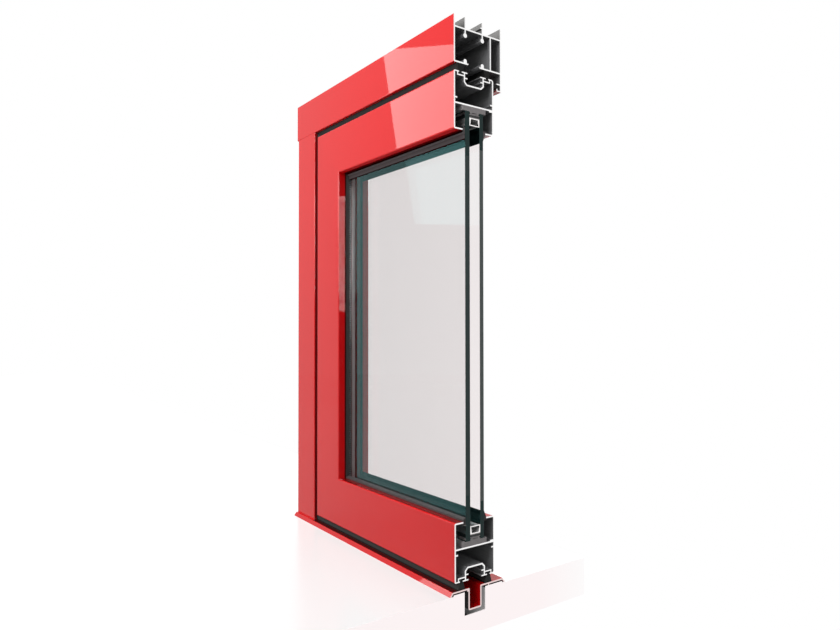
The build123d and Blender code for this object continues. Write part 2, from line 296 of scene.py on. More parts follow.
# red profiles: gloss paint outside, dark hollows, bare metal on the sawn ends and the wall fins, with
# painted shade in the gaps, on the lips and in the hollows near the sawn ends
paintLook = {
    "red": (0.76, 0.005, 0.007),
    "deepRed": (0.70, 0.004, 0.006),
    "roughness": 0.02,
    "ior": 1.39,
    "rippleScale": 420.0,
    "rippleDepth": 0.0001 * mm,
    "cloudScale": 9.0,
    "streakScale": 700.0,
    "depth": 1.1 * mm,  # how far the paint reaches into the grooves
}
hollowLook = {
    "dark": (0.45, 0.455, 0.466),
    "pale": (0.60, 0.607, 0.620),
    "roughness": 0.75,
    "cutShade": (0.210, 0.211, 0.216),  # painted shade: hollows darken towards the sawn ends, where light falls into them
    "cutShadeReach": 75.0 * mm,
    "cutShadePatches": (1.15, 0.75),
}
sawnLook = {
    "dark": (0.89, 0.88, 0.875),
    "pale": (1.0, 0.995, 0.99),
    "roughness": 0.22,
    "markDepth": 0.004 * mm,
}
sillCutReflectionLook = {"dark": (0.76, 0.60, 0.59), "pale": (0.88, 0.70, 0.69)}  # painted reflection: the floor's pink is painted into the threshold's cut faces
# painted shade: darker paint in the gaps and on the lips beside the gaskets, dull in the gaps and glossy
# on the lips
gapShadeLook = {"dark": (0.055, 0.001, 0.001), "pale": (0.10, 0.001, 0.0015), "roughness": 0.4}
lipShadeLook = {"dark": (0.055, 0.001, 0.001), "pale": (0.10, 0.001, 0.0015), "roughness": 0.03}
upperLipShadeLook = {"dark": (0.16, 0.0015, 0.002), "pale": (0.23, 0.002, 0.003), "roughness": 0.03}
lowerLipShadeLook = {"dark": (0.21, 0.002, 0.003), "pale": (0.29, 0.003, 0.004), "roughness": 0.03}
jambGapShadeLook = {"dark": (0.20, 0.002, 0.002), "pale": (0.30, 0.002, 0.003), "roughness": 0.4}
finLook = {
    "dark": (0.12, 0.118, 0.116),
    "pale": (0.20, 0.196, 0.192),
    "roughness": 0.45,
    "edge": 0.4 * mm,
}
# the underside of the threshold and its channel
channelLook = {"dark": (0.060, 0.057, 0.057), "pale": (0.100, 0.095, 0.095)}
# streaks are drawn out along a bar's run
alongX = (0.015, 1.0, 1.0)
alongZ = (1.0, 1.0, 0.015)


def insideBoxes(tree, boxes):
    mask = 0.0
    for low, high in boxes:
        depth = useGroup(tree, boxDepth, low=low, high=high)["depth"]
        mask = calc(tree, "MAXIMUM", calc(tree, "GREATER_THAN", depth, 0.0), mask)
    return mask


def paintedProfile(
    name, hollows, stretch, fins=(), shadeBoxes=(), inside=hollowLook, between=gapShadeLook, cut=sawnLook
):
    material, tree, shader = newMaterial(name)
    hollow = insideBoxes(tree, hollows)
    ends = useGroup(tree, sawnEnds, left=cadLow.x, right=sawnX)
    streak = useGroup(tree, dieLines, stretch=stretch, scale=paintLook["streakScale"])["streak"]
    rippleScale, cloudScale = paintLook["rippleScale"], paintLook["cloudScale"]
    spray = useGroup(tree, sprayed, rippleScale=rippleScale, cloudScale=cloudScale)

    skinColour = mixColour(tree, spray["cloud"], colour(paintLook["deepRed"]), colour(paintLook["red"]))
    hollowColour = mixColour(tree, streak, colour(inside["dark"]), colour(inside["pale"]))
    # painted shade: the hollows grow darker towards the sawn ends, in patches along the streaks
    if inside is hollowLook:
        reach = hollowLook["cutShadeReach"]
        middle, half = (sawnX + cadLow.x) / 2, (sawnX - cadLow.x) / 2
        fromMiddle = calc(tree, "SUBTRACT", splitVector(tree, place(tree))[0], middle)
        nearCut = calc(tree, "SUBTRACT", calc(tree, "ABSOLUTE", fromMiddle), half - reach)
        cutShade = calc(tree, "DIVIDE", nearCut, reach, True)
        cutShade = calc(tree, "MULTIPLY", cutShade, mixValue(tree, streak, *hollowLook["cutShadePatches"]), True)
        hollowColour = mixColour(tree, cutShade, hollowColour, colour(hollowLook["cutShade"]))
    sawnColour = mixColour(tree, ends["marks"], colour(cut["dark"]), colour(cut["pale"]))
    rough = paintLook["roughness"]
    # painted shade: darker paint inside these boxes, in the gaps and on the lips
    if shadeBoxes:
        thin = insideBoxes(tree, shadeBoxes)
        paintedShadeColour = mixColour(tree, streak, colour(between["dark"]), colour(between["pale"]))
        skinColour = mixColour(tree, thin, skinColour, paintedShadeColour)
        rough = mixValue(tree, thin, rough, between["roughness"])
    shown = mixColour(tree, hollow, skinColour, hollowColour)
    rough = mixValue(tree, hollow, rough, hollowLook["roughness"])
    metal = ends["mask"]
    if fins:
        bare = insideBoxes(tree, fins)
        finColour = mixColour(tree, streak, colour(finLook["dark"]), colour(finLook["pale"]))
        shown = mixColour(tree, bare, shown, finColour)
        rough = mixValue(tree, bare, rough, finLook["roughness"])
        metal = calc(tree, "MAXIMUM", metal, bare)
    shown = mixColour(tree, ends["mask"], shown, sawnColour)
    rough = mixValue(tree, ends["mask"], rough, sawnLook["roughness"])
    ripple = calc(tree, "MULTIPLY", spray["ripple"], paintLook["rippleDepth"])
    marks = calc(tree, "MULTIPLY", ends["marks"], sawnLook["markDepth"])
    wire(tree, shown, shader.inputs["Base Color"])
    wire(tree, rough, shader.inputs["Roughness"])
    wire(tree, metal, shader.inputs["Metallic"])
    shader.inputs["IOR"].default_value = paintLook["ior"]
    bump(tree, shader, mixValue(tree, ends["mask"], ripple, marks), 1.0)
    return material


# what the paint doesn't reach in each bar, left open along its run
leafFront, leafBack = leafLow.y, leafHigh.y
frameFront, frameBack = headLow.y, headHigh.y
finHeight = 11.3 * mm
jambInner = jambLow.x + 49.0 * mm  # the jamb's face towards the leaf
deep = paintLook["depth"]
finEdge = finLook["edge"]
frontSealY = (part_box("front_seal_top")[0].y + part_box("front_seal_top")[1].y) / 2
backSealY = -frontSealY
leafHollows = {
    "top": (
        ((-farAway, leafFront + deep, railLow.z + deep), (farAway, leafBack - deep, leafHigh.z - deep)),
        ((-farAway, frontSealY, railLow.z + deep), (farAway, backSealY, farAway)),
    ),
    "bottom": (
        ((-farAway, leafFront + deep, leafLow.z + deep), (farAway, leafBack - deep, railHigh.z - deep)),
        ((-farAway, frontSealY, -farAway), (farAway, backSealY, railHigh.z - deep)),
    ),
    "left": (
        ((leafLow.x + deep, leafFront + deep, -farAway), (leafHigh.x - deep, leafBack - deep, farAway)),
        ((-farAway, frontSealY, -farAway), (leafHigh.x - deep, backSealY, farAway)),
    ),
}
headHollows = (
    ((-farAway, frameFront + deep, jambHigh.z + deep), (farAway, frameBack - deep, farAway)),
    ((jambInner, frontSealY, headLow.z + deep), (farAway, frameBack - deep, jambHigh.z + deep)),
)
headFins = (
    (
        (-farAway, frameFront + finEdge, headHigh.z - finHeight - finEdge),
        (farAway, frameBack - finEdge, farAway),
    ),
)
jambHollows = (
    ((-farAway, frameFront + deep, -farAway), (jambInner - deep, frameBack - deep, farAway)),
    ((jambInner - deep, frontSealY, -farAway), (jambHigh.x - deep, frameBack - deep, farAway)),
)
skin = 0.1 * mm
profileWall = 1.5 * mm
channelY = 7.75 * mm  # middle of the channel's side walls
flangeUnder = sillHigh.z - profileWall
thresholdHollows = (
    ((-farAway, frameFront, -farAway), (farAway, -channelY, flangeUnder + skin)),
    ((-farAway, channelY, -farAway), (farAway, frameBack, flangeUnder + skin)),
    ((-farAway, -farAway, -farAway), (farAway, farAway, profileWall / 2)),
)
jambFins = (
    (
        (-farAway, frameFront + finEdge, -farAway),
        (jambLow.x + finHeight + finEdge, frameBack - finEdge, farAway),
    ),
)
# painted shade on the faces of the frame in the narrow gap around the leaf
headGapFront = leafFront + 0.4 * mm
jambGapFront = leafFront + 1.2 * mm
sillGapFront = leafFront - 1.9 * mm
headGapShade = (((jambInner, headGapFront, -farAway), (farAway, frontSealY, headLow.z + skin)),)
jambGapShade = (((jambInner - skin, jambGapFront, -farAway), (farAway, frontSealY, farAway)),)
thresholdGapShade = (((jambInner, sillGapFront, flangeUnder), (farAway, frontSealY, farAway)),)
# painted shade on the inner part of the leaf's glazing lip, beside the gasket
lipEnd = leafFront + 11.2 * mm
topShade = leafFront + 7.0 * mm
bottomShade = leafFront + 2.4 * mm
stileShade = leafFront + 9.2 * mm
leafLipShade = {
    "top": (((-farAway, topShade, railLow.z - skin), (farAway, lipEnd, railLow.z + skin)),),
    "bottom": (((-farAway, bottomShade, railHigh.z - skin), (farAway, lipEnd, railHigh.z + skin)),),
    "left": (((leafHigh.x - skin, stileShade, -farAway), (leafHigh.x + skin, lipEnd, farAway)),),
}
stretches = {"top": alongX, "bottom": alongX, "left": alongZ}
leafNodes = {"top": "leaf_top_rail", "bottom": "leaf_bottom_rail", "left": "leaf_stile"}
for side, hollowBoxes in leafHollows.items():
    name = "redLeaf" + side.capitalize()
    lip = {"top": upperLipShadeLook, "bottom": lowerLipShadeLook, "left": lipShadeLook}[side]
    paint = paintedProfile(name, hollowBoxes, stretches[side], (), leafLipShade[side], between=lip)
    for node in (leafNodes[side], "glazing_bead_" + side):
        nodes[node].material_slots[0].material = paint
redHead = paintedProfile("redHead", headHollows, alongX, headFins, headGapShade)
nodes["head_track"].material_slots[0].material = redHead
redJamb = paintedProfile("redJamb", jambHollows, alongZ, jambFins, jambGapShade, between=jambGapShadeLook)
nodes["left_jamb"].material_slots[0].material = redJamb
redThreshold = paintedProfile(
    "redThreshold", thresholdHollows, alongX, (), thresholdGapShade, channelLook, cut=sillCutReflectionLook
)
nodes["threshold"].material_slots[0].material = redThreshold
print("painted profiles dressed")

# rubber seals and gaskets, dull and dark; their tones differ by side as painted light and shade, with
# painted shade at the ends of each seal's gap and on the upper gasket's root
rubberLook = {
    # each side's tones: painted light and shade on one rubber, the top seal darker and the upper gasket
    # paler
    "topSealShade": ((0.008, 0.008, 0.0075), (0.015, 0.015, 0.014)),
    "seal": ((0.030, 0.031, 0.030), (0.054, 0.055, 0.053)),
    "left": ((0.015, 0.0145, 0.014), (0.030, 0.029, 0.028)),
    "top": ((0.175, 0.158, 0.161), (0.260, 0.236, 0.241)),
    "bottom": ((0.055, 0.050, 0.050), (0.090, 0.083, 0.084)),
    "shaded": (0.002, 0.0018, 0.0018),
    "dust": (0.10, 0.095, 0.09),
    "dustShare": 0.3,
    "streakScale": 900.0,
    "grainScale": 2600.0,
    "dustScale": 160.0,
    "grainShare": 0.4,
    "roughness": (0.52, 0.75),
    "shine": 0.15,
    "topShine": 0.0,
    "depth": 0.03 * mm,
    "lit": 0.55,  # share of a seal's width that stays clear of the painted shade in its gap
    "shadeRise": 4.0,
    # painted shade colour for the upper gasket's root and the sealing lip's tip
    "root": (0.012, 0.0012, 0.0012),
    "rootShadeDepth": 1.5 * mm,  # how far the painted shade on the upper gasket's root reaches back from its front face
}


def rubberStrip(name, stretch, tones, gap=None, rubberShadeBox=None, shine=rubberLook["shine"]):
    material, tree, shader = newMaterial(name)
    streak = useGroup(tree, dieLines, stretch=stretch, scale=rubberLook["streakScale"])["streak"]
    speck = useGroup(tree, grit, grainScale=rubberLook["grainScale"], dustScale=rubberLook["dustScale"])
    shown = mixColour(tree, streak, colour(tones[0]), colour(tones[1]))
    dusty = calc(tree, "MULTIPLY", speck["dust"], rubberLook["dustShare"])
    shown = mixColour(tree, dusty, shown, colour(rubberLook["dust"]))
    # painted shade: the seal darkens towards both ends of its gap
    if gap:
        axis, low, high = gap
        fromMiddle = calc(tree, "SUBTRACT", splitVector(tree, place(tree))[axis], (low + high) / 2)
        share = calc(tree, "DIVIDE", calc(tree, "ABSOLUTE", fromMiddle), (high - low) / 2)
        pastLit = calc(tree, "SUBTRACT", share, rubberLook["lit"])
        shade = calc(tree, "MULTIPLY", pastLit, rubberLook["shadeRise"], True)
        shown = mixColour(tree, shade, shown, colour(rubberLook["shaded"]))
    # painted shade: near black inside the given box
    if rubberShadeBox:
        shown = mixColour(tree, insideBoxes(tree, (rubberShadeBox,)), shown, colour(rubberLook["root"]))
    wire(tree, shown, shader.inputs["Base Color"])
    wire(tree, mixValue(tree, speck["grain"], *rubberLook["roughness"]), shader.inputs["Roughness"])
    shader.inputs["Specular IOR Level"].default_value = shine
    height = calc(tree, "MULTIPLY", speck["grain"], rubberLook["grainShare"])
    height = calc(tree, "ADD", height, streak)
    bump(tree, shader, height, rubberLook["depth"])
    return material


sealGaps = {
    "top": (2, leafHigh.z, headLow.z),
    "bottom": (2, sillHigh.z, leafLow.z),
    "left": (0, jambInner, leafLow.x),
}
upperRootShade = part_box("outer_gasket_top")[0].y + rubberLook["rootShadeDepth"]
upperRootShadeBox = ((-farAway, -farAway, -farAway), (farAway, upperRootShade, farAway))
for side, stretch in stretches.items():
    tones = rubberLook["topSealShade" if side == "top" else "seal"]
    rubberShadeBox = upperRootShadeBox if side == "top" else None
    sealRubber = rubberStrip("sealRubber" + side.capitalize(), stretch, tones, sealGaps[side])
    shine = rubberLook["topShine" if side == "top" else "shine"]
    rubberName = "gasketRubber" + side.capitalize()
    gasketRubber = rubberStrip(rubberName, stretch, rubberLook[side], rubberShadeBox=rubberShadeBox, shine=shine)
    for family, rubber in (
        ("front_seal_", sealRubber),
        ("back_seal_", sealRubber),
        ("outer_gasket_", gasketRubber),
        ("inner_gasket_", gasketRubber),
    ):
        nodes[family + side].material_slots[0].material = rubber
for node, stretch in (("head_stop_gasket", alongX), ("jamb_stop_gasket", alongZ)):
    nodes[node].material_slots[0].material = rubberStrip("stopRubber", stretch, rubberLook["left"])
print("rubber dressed")

# thin sealing lip of the upper gasket, lying on the outer pane
gasketLipLook = {
    "drop": 5.3 * mm,
    "line": 1.2 * mm,  # painted shade: the tip is dark
    "under": 0.4 * mm,
    "rootThick": 0.9 * mm,
    "tipThick": 0.25 * mm,
    "steps": 6,
    # a darker grey than the upper gasket's rubber: painted shade
    "tones": ((0.078, 0.070, 0.072), (0.118, 0.106, 0.110)),
}


def gasketLip():
    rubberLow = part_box("outer_gasket_top")[0]
    left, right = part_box("outer_gasket_left")[1].x, sawnX
    face = outerPaneLow.y
    root, tip = rubberLow.z + gasketLipLook["under"], rubberLow.z - gasketLipLook["drop"]
    thick, thin = gasketLipLook["rootThick"], gasketLipLook["tipThick"]
    steps = gasketLipLook["steps"]
    section = [(face, root)]
    for i in range(steps + 1):
        share = i / steps
        section.append((face - thin - (thick - thin) * (1.0 - share) ** 2, root + (tip - root) * share))
    section.append((face, tip))
    shape = bmesh.new()
    pull(shape, [(left, y, z) for y, z in section], (right - left, 0, 0))
    tipShadeBox = ((-farAway, -farAway, -farAway), (farAway, farAway, tip + gasketLipLook["line"]))
    tones, shine = gasketLipLook["tones"], rubberLook["topShine"]
    rubber = rubberStrip("gasketLipRubber", alongX, tones, rubberShadeBox=tipShadeBox, shine=shine)
    piece = newPiece("upperGasketLip", shape, rubber)
    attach(piece, "root")


gasketLip()

# spacer bars: folded aluminium, with rows of breather holes along one half of the sight face
spacerLook = {
    "dark": (0.68, 0.675, 0.675),
    "pale": (0.86, 0.85, 0.85),
    "hole": (0.04, 0.04, 0.04),
    "roughness": (0.16, 0.3),
    "streakScale": 800.0,
    "depth": 0.01 * mm,
    "metal": 0.5,
    "sawn": (0.93, 0.90, 0.89),
    "rowPitch": 1.6 * mm,
    "holePitch": 2.4 * mm,
    "holeShare": 0.84,
    "pierced": (-5.2 * mm, 1.3 * mm),
    "darkFrom": 5.6 * mm,  # the bar is dark from here to the inner pane
}


def spacerBar(name, stretch, runAxis):
    material, tree, shader = newMaterial(name)
    streak = useGroup(tree, dieLines, stretch=stretch, scale=spacerLook["streakScale"])["streak"]
    spot = splitVector(tree, place(tree))
    piercedFrom, piercedTo = spacerLook["pierced"]
    pastFront = calc(tree, "GREATER_THAN", spot[1], piercedFrom)
    pierced = calc(tree, "MULTIPLY", pastFront, calc(tree, "LESS_THAN", spot[1], piercedTo))
    across = calc(tree, "FRACT", calc(tree, "DIVIDE", spot[1], spacerLook["rowPitch"]))
    along = calc(tree, "FRACT", calc(tree, "DIVIDE", spot[runAxis], spacerLook["holePitch"]))
    hole = calc(tree, "MULTIPLY", pierced, calc(tree, "LESS_THAN", across, spacerLook["holeShare"]))
    hole = calc(tree, "MULTIPLY", hole, calc(tree, "LESS_THAN", along, spacerLook["holeShare"]))
    shown = mixColour(tree, streak, colour(spacerLook["dark"]), colour(spacerLook["pale"]))
    pastDarkFrom = calc(tree, "GREATER_THAN", spot[1], spacerLook["darkFrom"])
    shown = mixColour(tree, calc(tree, "MAXIMUM", hole, pastDarkFrom), shown, colour(spacerLook["hole"]))
    ends = useGroup(tree, sawnEnds, left=cadLow.x, right=sawnX)["mask"]
    wire(tree, mixColour(tree, ends, shown, colour(spacerLook["sawn"])), shader.inputs["Base Color"])
    wire(tree, mixValue(tree, streak, *spacerLook["roughness"]), shader.inputs["Roughness"])
    wire(tree, mixValue(tree, ends, spacerLook["metal"], 1.0), shader.inputs["Metallic"])
    bump(tree, shader, streak, spacerLook["depth"])
    return material


for side, stretch in stretches.items():
    bar = spacerBar("spacer" + side.capitalize(), stretch, 2 if side == "left" else 0)
    nodes["spacer_bar_" + side].material_slots[0].material = bar

# edge sealant: dull black and spread by hand, paler where it is cut, with a dark slot
sealantLook = {
    "dark": (0.010, 0.010, 0.010),
    "pale": (0.028, 0.028, 0.028),
    "cut": (0.38, 0.35, 0.355),
    "slotShare": 0.5,
    "rippleScale": 260.0,
    "cloudScale": 60.0,
    "grainScale": 1800.0,
    "dustScale": 200.0,
    "roughness": (0.6, 0.8),
    "depth": 0.4 * mm,
}


def edgeSealant(side):
    material, tree, shader = newMaterial("edgeSealant" + side.capitalize())
    low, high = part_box("edge_seal_" + side)
    rippleScale, cloudScale = sealantLook["rippleScale"], sealantLook["cloudScale"]
    smear = useGroup(tree, sprayed, rippleScale=rippleScale, cloudScale=cloudScale)
    speck = useGroup(tree, grit, grainScale=sealantLook["grainScale"], dustScale=sealantLook["dustScale"])
    spot = splitVector(tree, place(tree))
    off = calc(tree, "ABSOLUTE", calc(tree, "SUBTRACT", spot[2], (low.z + high.z) / 2))
    rim = calc(tree, "GREATER_THAN", off, (high.z - low.z) / 2 * sealantLook["slotShare"])
    cut = calc(tree, "MULTIPLY", rim, useGroup(tree, sawnEnds, left=cadLow.x, right=sawnX)["mask"])
    shown = mixColour(tree, smear["cloud"], colour(sealantLook["dark"]), colour(sealantLook["pale"]))
    wire(tree, mixColour(tree, cut, shown, colour(sealantLook["cut"])), shader.inputs["Base Color"])
    wire(tree, mixValue(tree, speck["grain"], *sealantLook["roughness"]), shader.inputs["Roughness"])
    bump(tree, shader, smear["ripple"], sealantLook["depth"])
    return material


# packers: grey moulded plastic
packerLook = {
    "dark": (0.42, 0.387, 0.39),
    "pale": (0.60, 0.56, 0.565),
    "roughness": (0.5, 0.7),
    "streakScale": 500.0,
    "grainScale": 1500.0,
    "dustScale": 120.0,
    "depth": 0.04 * mm,
}
packer, tree, shader = newMaterial("packerPlastic")
speck = useGroup(tree, grit, grainScale=packerLook["grainScale"], dustScale=packerLook["dustScale"])
streak = useGroup(tree, dieLines, stretch=alongX, scale=packerLook["streakScale"])["streak"]
packerColour = mixColour(tree, streak, colour(packerLook["dark"]), colour(packerLook["pale"]))
wire(tree, packerColour, shader.inputs["Base Color"])
wire(tree, mixValue(tree, speck["grain"], *packerLook["roughness"]), shader.inputs["Roughness"])
bump(tree, shader, speck["grain"], packerLook["depth"])
for side in ("top", "bottom"):
    nodes[side + "_packer"].material_slots[0].material = packer
for side in stretches:
    nodes["edge_seal_" + side].material_slots[0].material = edgeSealant(side)
print("spacers, sealant and packers dressed")

# panes: clear float glass that mirrors a little green, with a trace of wiped film
glassLook = {
    "clear": (0.895, 0.918, 0.918),
    "film": (0.875, 0.898, 0.898),
    "ior": 1.5,
    "tint": (0.0, 1.0, 1.0),
    "roughness": 0.0,
    "rippleScale": 30.0,
    "cloudScale": 7.0,
    "lightLetThrough": 0.9,
}
glass, tree, shader = newMaterial("clearGlass")
film = useGroup(tree, sprayed, rippleScale=glassLook["rippleScale"], cloudScale=glassLook["cloudScale"])
glassColour = mixColour(tree, film["cloud"], colour(glassLook["clear"]), colour(glassLook["film"]))
wire(tree, glassColour, shader.inputs["Base Color"])
shader.inputs["Specular Tint"].default_value = colour(glassLook["tint"])
shader.inputs["Roughness"].default_value = glassLook["roughness"]
shader.inputs["IOR"].default_value = glassLook["ior"]
shader.inputs["Transmission Weight"].default_value = 1.0
letThrough = tree.nodes.new("ShaderNodeBsdfTransparent")
letThrough.inputs["Color"].default_value = grey(glassLook["lightLetThrough"])
choose = tree.nodes.new("ShaderNodeMixShader")
lightPath = tree.nodes.new("ShaderNodeLightPath")
tree.links.new(lightPath.outputs["Is Shadow Ray"], choose.inputs[0])
tree.links.new(shader.outputs[0], choose.inputs[1])
tree.links.new(letThrough.outputs[0], choose.inputs[2])
tree.links.new(choose.outputs[0], tree.nodes["Material Output"].inputs["Surface"])
for node in ("outer_pane", "inner_pane"):
    nodes[node].material_slots[0].material = glass

# ground edge of each pane at the sawn end, dark green as thick glass looks end on
edgeLook = {
    "ends": ((0.001, 0.032, 0.029), (0.004, 0.048, 0.044)),
    "outer": ((0.034, 0.066, 0.064), (0.048, 0.086, 0.083)),
    "inner": ((0.155, 0.188, 0.181), (0.205, 0.238, 0.230)),
    "outerMargin": 25.0 * mm,
    "innerMargin": 17.0 * mm,
    "roughness": (0.12, 0.3),
    "shine": 0.22,
    "streakScale": 1600.0,
    "depth": 0.008 * mm,
    "proud": 0.05 * mm,
    "sunk": 0.03 * mm,
    "arris": 0.35 * mm,
}


def groundGlass(name, tones, margin):
    material, tree, shader = newMaterial(name)
    streak = useGroup(tree, dieLines, stretch=alongZ, scale=edgeLook["streakScale"])["streak"]
    low = (-farAway, -farAway, railHigh.z + margin)
    high = (farAway, farAway, railLow.z - margin)
    between = insideBoxes(tree, ((low, high),))
    endColour = mixColour(tree, streak, colour(edgeLook["ends"][0]), colour(edgeLook["ends"][1]))
    middleColour = mixColour(tree, streak, colour(tones[0]), colour(tones[1]))
    wire(tree, mixColour(tree, between, endColour, middleColour), shader.inputs["Base Color"])
    wire(tree, mixValue(tree, streak, *edgeLook["roughness"]), shader.inputs["Roughness"])
    shader.inputs["Specular IOR Level"].default_value = edgeLook["shine"]
    bump(tree, shader, streak, edgeLook["depth"])
    return material


def paneEdge(name, low, high, material):
    front = sawnX + edgeLook["proud"]
    back = sawnX - edgeLook["sunk"]
    arris = edgeLook["arris"]
    shape = bmesh.new()
    rings = []
    for x, inset in ((back, 0.0), (sawnX, 0.0), (front, arris)):
        corners = (
            (low.y + inset, low.z + inset),
            (high.y - inset, low.z + inset),
            (high.y - inset, high.z - inset),
            (low.y + inset, high.z - inset),
        )
        rings.append([shape.verts.new((x, y, z)) for y, z in corners])
    shape.faces.new(rings[0])
    shape.faces.new(rings[-1])
    for ring, following in zip(rings, rings[1:]):
        for i in range(len(ring)):
            j = (i + 1) % len(ring)
            shape.faces.new((ring[i], ring[j], following[j], following[i]))
    piece = newPiece(name, shape, material)
    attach(piece, "root")


outerGround = groundGlass("outerGroundEdge", edgeLook["outer"], edgeLook["outerMargin"])
innerGround = groundGlass("innerGroundEdge", edgeLook["inner"], edgeLook["innerMargin"])
paneEdge("outerPaneEdge", outerPaneLow, outerPaneHigh, outerGround)
paneEdge("innerPaneEdge", innerPaneLow, innerPaneHigh, innerGround)

# painted reflection: the green that the inner pane shows where rubber backs it, drawn as a thin opaque
# band just inside the glass
greenReflectionLook = {
    "dark": (0.004, 0.010, 0.010),
    "pale": (0.007, 0.017, 0.017),
    "inside": 0.03 * mm,
    "thick": 0.02 * mm,
    "topDrop": 2.2 * mm,
    "endGap": 0.05 * mm,
    "rippleScale": 90.0,
    "cloudScale": 24.0,
    "roughness": (0.5, 0.7),
    "shine": 0.0,
}
greenReflectionSheet, tree, shader = newMaterial("paintedGreenReflection")
film = useGroup(tree, sprayed, rippleScale=greenReflectionLook["rippleScale"], cloudScale=greenReflectionLook["cloudScale"])
cloud = film["cloud"]
greenReflectionColour = mixColour(tree, cloud, colour(greenReflectionLook["dark"]), colour(greenReflectionLook["pale"]))
wire(tree, greenReflectionColour, shader.inputs["Base Color"])
wire(tree, mixValue(tree, cloud, *greenReflectionLook["roughness"]), shader.inputs["Roughness"])
shader.inputs["Specular IOR Level"].default_value = greenReflectionLook["shine"]


def greenReflectionBand():
    right, left = sawnX - greenReflectionLook["endGap"], innerPaneLow.x
    low, high = innerPaneLow.z, innerPaneHigh.z
    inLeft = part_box("inner_gasket_left")[1].x
    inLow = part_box("inner_gasket_bottom")[1].z
    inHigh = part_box("inner_gasket_top")[0].z - greenReflectionLook["topDrop"]
    outline = ((right, low), (left, low), (left, high), (right, high))
    outline += ((right, inHigh), (inLeft, inHigh), (inLeft, inLow), (right, inLow))
    back = innerPaneHigh.y - greenReflectionLook["inside"]
    shape = bmesh.new()
    pull(shape, [(x, back, z) for x, z in outline], (0, -greenReflectionLook["thick"], 0))
    piece = newPiece("paintedGreenReflectionBand", shape, greenReflectionSheet)
    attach(piece, "root")


greenReflectionBand()
print("glass dressed")

# white floor slab, cut at the sawn plane, with a recess for the sunk channel
floorLook = {
    "level": 17.8 * mm,
    "underside": -24.0 * mm,
    "backEdge": 163.0 * mm,
    "recessHalf": 13.5 * mm,
    "recessFloor": -4.0 * mm,
    "bed": 1.3 * mm,
    "bedFront": 1.4 * mm,  # how far the bed reaches past the leaf's front
    "bedBack": 0.5 * mm,
    "coverInset": 0.4 * mm,
    "rippleScale": 200.0,
    "cloudScale": 3.0,
    "length": 5.0,
    "frontEdge": -6.0,
    "horizonPoint": (-2.233, -1.721, 0.0),  # the slab ends here, as the paint mirrors it
    "horizonNormal": (-0.811, -0.585, 0.0),
    "white": (0.30, 0.30, 0.30),
    "cutFace": (0.36, 0.31, 0.31),
    "recess": (0.80, 0.74, 0.73),
    "recessShade": (0.10, 0.092, 0.092),
    "recessFade": (-11.0 * mm, 20.0 * mm),  # start and reach of the painted shade on the recess floor, from front to back
    "topLift": 0.66,
    "cutLift": 0.86,
    "fade": (90.0 * mm, 80.0 * mm),  # start and reach of the fading of the painted red reflection on the cut face
    "recessLift": 0.14,
    "mirroredShare": 0.66,
    "covered": (0.03, 0.03, 0.03),
    "cutRedReflection": (1.0, 0.925, 0.93),
    "roughness": (0.16, 0.22),
    "shine": 0.3,
}


def floorSlab(material):
    level, underside = floorLook["level"], floorLook["underside"]
    half, bottom = floorLook["recessHalf"], floorLook["recessFloor"]
    front, back = floorLook["frontEdge"], floorLook["backEdge"]
    bed = level + floorLook["bed"]
    bedFront, bedBack = leafFront - floorLook["bedFront"], frameBack - floorLook["bedBack"]
    recess = ((bedFront, level), (bedFront, bed), (-half, bed), (-half, bottom))
    recess += ((half, bottom), (half, bed), (bedBack, bed), (bedBack, level))
    corners = ((back, level), (back, underside), (front, underside), (front, level))
    shape = bmesh.new()
    for section, start, length in (
        (recess + corners, sawnX, sawnX - sillLow.x),
        (corners, sillLow.x, floorLook["length"]),
    ):
        pull(shape, [(start, y, z) for y, z in section], (-length, 0, 0))
    everything = shape.verts[:] + shape.edges[:] + shape.faces[:]
    bmesh.ops.bisect_plane(
        shape,
        geom=everything,
        plane_co=floorLook["horizonPoint"],
        plane_no=floorLook["horizonNormal"],
        clear_outer=True,
    )
    slab = newPiece("floorSlab", shape, material)


# rays that a painted edge mirrors out through the panes, which stay dim in the photograph
def mirroredThroughGlass(tree, lightPath):
    mirrored = calc(tree, "GREATER_THAN", lightPath.outputs["Glossy Depth"], 0.5)
    return calc(tree, "MULTIPLY", mirrored, lightPath.outputs["Is Transmission Ray"])


floorWhite, tree, shader = newMaterial("floorWhite")
film = useGroup(tree, sprayed, rippleScale=floorLook["rippleScale"], cloudScale=floorLook["cloudScale"])
cloud = film["cloud"]
spot = splitVector(tree, place(tree))
onCut = calc(tree, "GREATER_THAN", spot[0], sawnX - skin)
onTop = calc(tree, "GREATER_THAN", spot[2], floorLook["level"] - skin)
shadeStart, shadeReach = floorLook["recessFade"]
fromShade = calc(tree, "DIVIDE", calc(tree, "SUBTRACT", spot[1], shadeStart), shadeReach, True)
# painted shade: the recess floor is darker and glows less towards the front
onBottom = calc(tree, "LESS_THAN", spot[2], floorLook["recessFloor"] + skin)
onBottom = calc(tree, "MULTIPLY", onBottom, calc(tree, "SUBTRACT", 1.0, fromShade))
recessColour = mixColour(tree, onBottom, colour(floorLook["recess"]), colour(floorLook["recessShade"]))
floorColour = mixColour(tree, onTop, recessColour, colour(floorLook["white"]))
